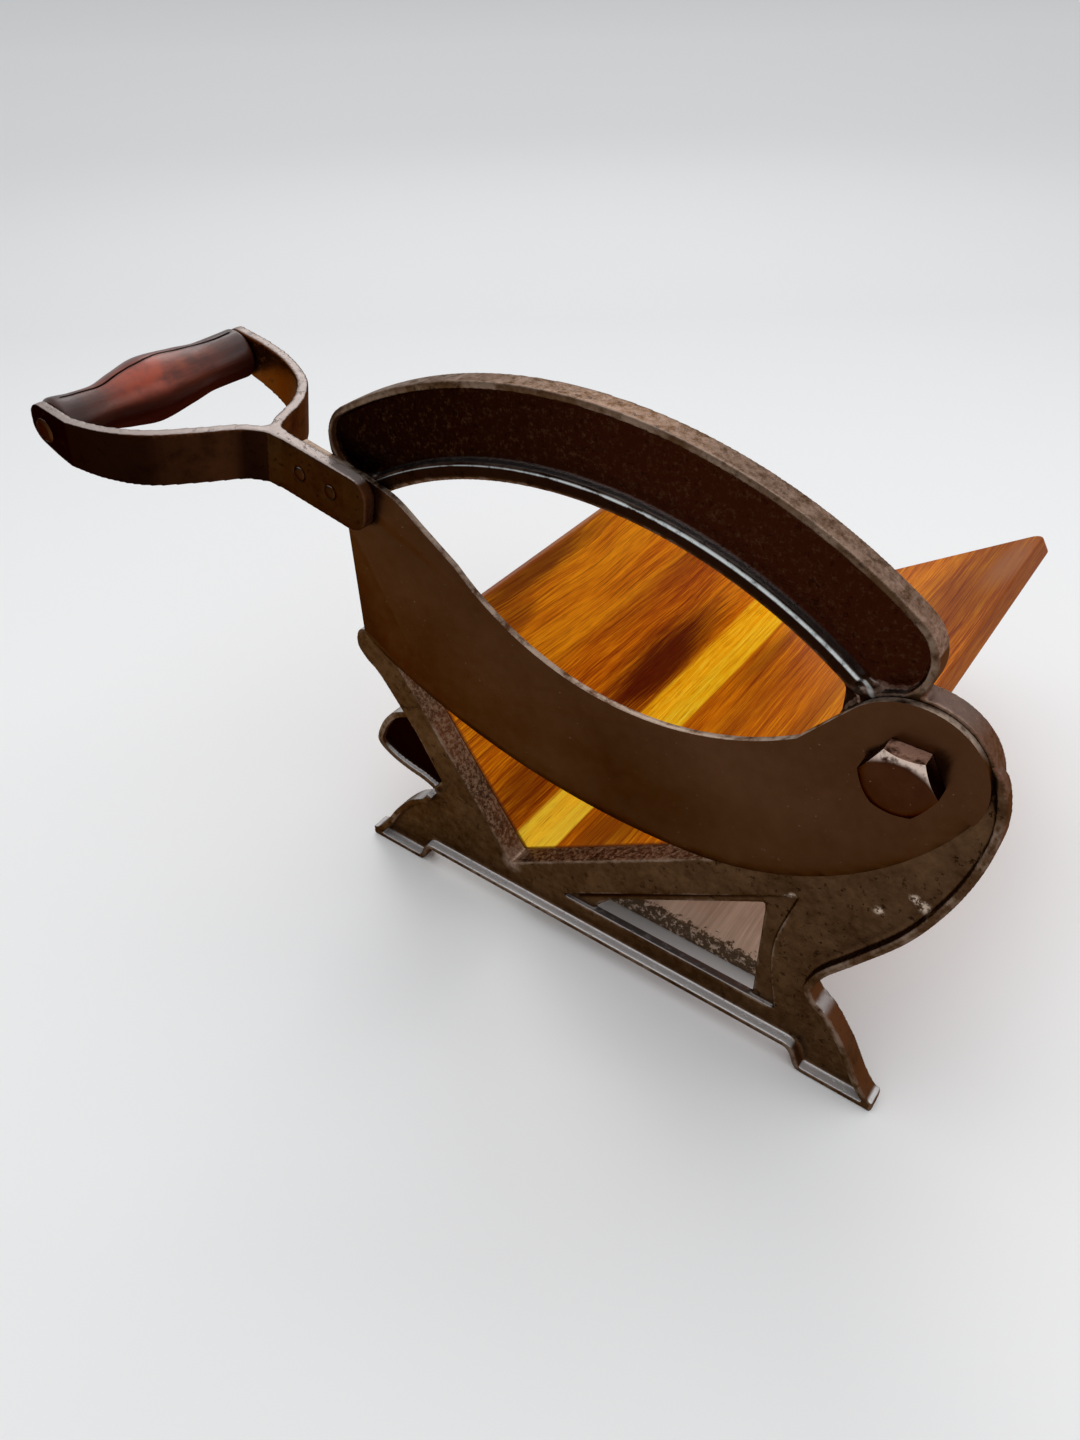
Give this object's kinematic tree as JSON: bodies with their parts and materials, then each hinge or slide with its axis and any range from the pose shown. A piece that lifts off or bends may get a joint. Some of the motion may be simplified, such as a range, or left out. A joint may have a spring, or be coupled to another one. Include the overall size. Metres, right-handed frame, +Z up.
{
  "type": "guillotine bread slicer",
  "caption": "Hand-lever guillotine bread slicer: cast iron frame with a V-shaped wooden trough and a curved blade on a stirrup handle that swings down across the throat.",
  "frame": {"origin": "on the floor under the middle of the part's box", "axes": "+X along the frame towards the blade's pivot, +Y back along the trough, +Z up"},
  "size_m": [0.4103, 0.3636, 0.281],
  "materials": {
    "frame_iron": "dark brown enamel, worn light at the edges",
    "blade_steel": "satin with a dark brown patina",
    "brown_steel": "polished with a red-brown patina",
    "plain_steel": "dull",
    "trough_wood": "amber varnish",
    "base_wood": "bare and worn",
    "grip_wood": "red-brown lacquer",
    "disc_leather": "oiled"
  },
  "bodies": {
    "body": {"frame": "frame_iron", "long_board": "trough_wood", "short_board": "trough_wood", "valley_nails": "plain_steel", "long_board_screws": "plain_steel", "short_board_screws": "plain_steel", "base_board": "base_wood", "front_bearer": "base_wood", "rear_leg": "base_wood", "base_screws": "plain_steel", "long_cleat": "base_wood", "short_cleat": "base_wood", "cleat_screws": "plain_steel", "leg_screws": "plain_steel", "pivot_bolt": "brown_steel", "pivot_sleeve": "plain_steel", "friction_disc": "disc_leather", "flat_washer": "plain_steel", "spring_washer": "plain_steel", "pivot_nut": "brown_steel"},
    "blade_arm": {"blade": "blade_steel", "handle_fork": "frame_iron", "handle_rivets": "brown_steel", "grip_rod": "brown_steel"},
    "grip_body": {"grip": "grip_wood"}
  },
  "joints": [
    {"name": "blade_swing", "type": "hinge", "parent": "body", "child": "blade_arm", "pos_m": [0.17054, -0.1161, 0.1845], "axis": [0, 1, 0], "range_deg": [-27, 55]},
    {"name": "grip_spin", "type": "hinge", "parent": "blade_arm", "child": "grip_body", "pos_m": [-0.19064, -0.1246, 0.23832], "axis": [0, 1, 0], "continuous": true}
  ]
}
